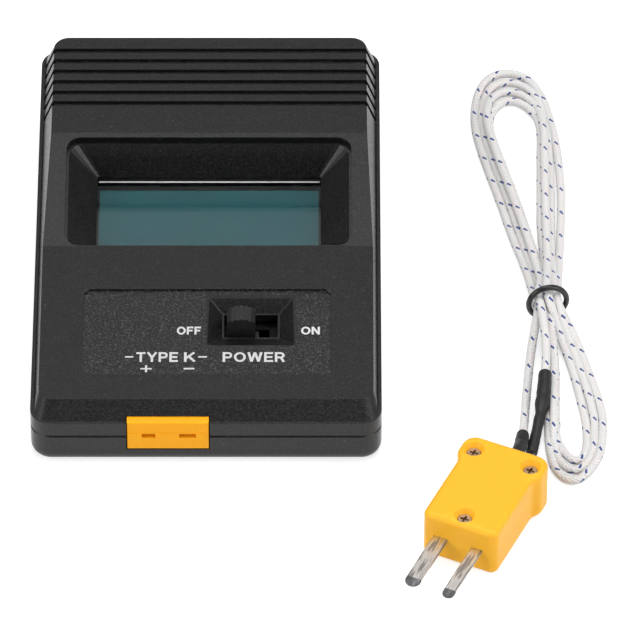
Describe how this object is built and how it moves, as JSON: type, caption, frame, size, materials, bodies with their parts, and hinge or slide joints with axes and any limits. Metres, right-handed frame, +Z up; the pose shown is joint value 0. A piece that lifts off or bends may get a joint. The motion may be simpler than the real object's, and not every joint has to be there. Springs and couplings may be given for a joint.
{
  "type": "thermocouple thermometer",
  "caption": "Pocket digital thermometer with a wedge-shaped case, recessed display, slide switch, front socket and a corded thermocouple probe with a flat-blade plug.",
  "frame": {"origin": "centre of the meter's underside, on the surface it lies on", "axes": "+Z up, +Y from the socket towards the gripped back of the meter, +X to the user's right"},
  "size_m": [0.1177, 0.1662, 0.023],
  "materials": {
    "case_plastic": "fine moulded grain",
    "screw_steel": "zinc plated",
    "clear_pane": "clear",
    "display_glass": "clear",
    "display_film": "satin film",
    "reflector_film": "satin film",
    "frame_plastic": "matt",
    "strip_rubber": "matt",
    "board_laminate": "solder mask",
    "chip_epoxy": "matt",
    "trimmer_plastic": "gloss",
    "capacitor_plastic": "dipped",
    "resistor_body": "lacquer",
    "switch_phenolic": "matt",
    "switch_steel": "tinned",
    "knob_plastic": "satin",
    "yellow_plastic": "satin moulded",
    "contact_metal": "nickel alloy",
    "brass_screw": "plated",
    "battery_wrap": "plain wrap",
    "snap_vinyl": "vinyl",
    "red_insulation": "vinyl",
    "black_insulation": "vinyl",
    "glass_braid": "braided glass fibre with blue tracer",
    "shrink_sleeve": "heat shrunk",
    "tie_rubber": "satin"
  },
  "bodies": {
    "meter": {"upper_case": "case_plastic", "lower_case": "case_plastic", "case_screws": "screw_steel", "display_window": "clear_pane", "display_glass": "display_glass", "display_polarizer": "display_film", "display_reflector": "reflector_film", "display_frame": "frame_plastic", "contact_strips": "strip_rubber", "main_board": "board_laminate", "board_screws": "screw_steel", "converter_chip": "chip_epoxy", "amplifier_chip": "chip_epoxy", "trimmers": "trimmer_plastic", "film_capacitors": "capacitor_plastic", "resistors": "resistor_body", "switch_base": "switch_phenolic", "switch_can": "switch_steel", "socket_housing": "yellow_plastic", "socket_contact_positive": "contact_metal", "socket_contact_negative": "contact_metal", "battery": "battery_wrap", "battery_snap": "snap_vinyl", "battery_lead_red": "red_insulation", "battery_lead_black": "black_insulation"},
    "cover": {"battery_cover": "case_plastic"},
    "switch": {"switch_slider": "knob_plastic", "power_knob": "knob_plastic"},
    "probe": {"plug_top_shell": "yellow_plastic", "plug_bottom_shell": "yellow_plastic", "plug_screws": "screw_steel", "plug_blade_negative": "contact_metal", "plug_blade_positive": "contact_metal", "terminal_screws": "brass_screw", "cord_lead": "glass_braid", "cord_sleeve": "shrink_sleeve", "cord_hank": "glass_braid", "cord_tie": "tie_rubber", "sensor_lead": "glass_braid", "sensor_sleeve": "shrink_sleeve", "sensor_wires": "contact_metal", "sensor_bead": "contact_metal"}
  },
  "joints": [
    {"name": "power_switch", "type": "slide", "parent": "meter", "child": "switch", "axis": [1, 0, 0], "range_m": [0, 0.004]},
    {"name": "battery_cover_slide", "type": "slide", "parent": "meter", "child": "cover", "axis": [0, 1, 0], "range_m": [0, 0.03]},
    {"name": "probe_lift", "type": "slide", "parent": "meter", "child": "probe", "axis": [0, 0, 1], "range_m": [0, 0.06]}
  ]
}
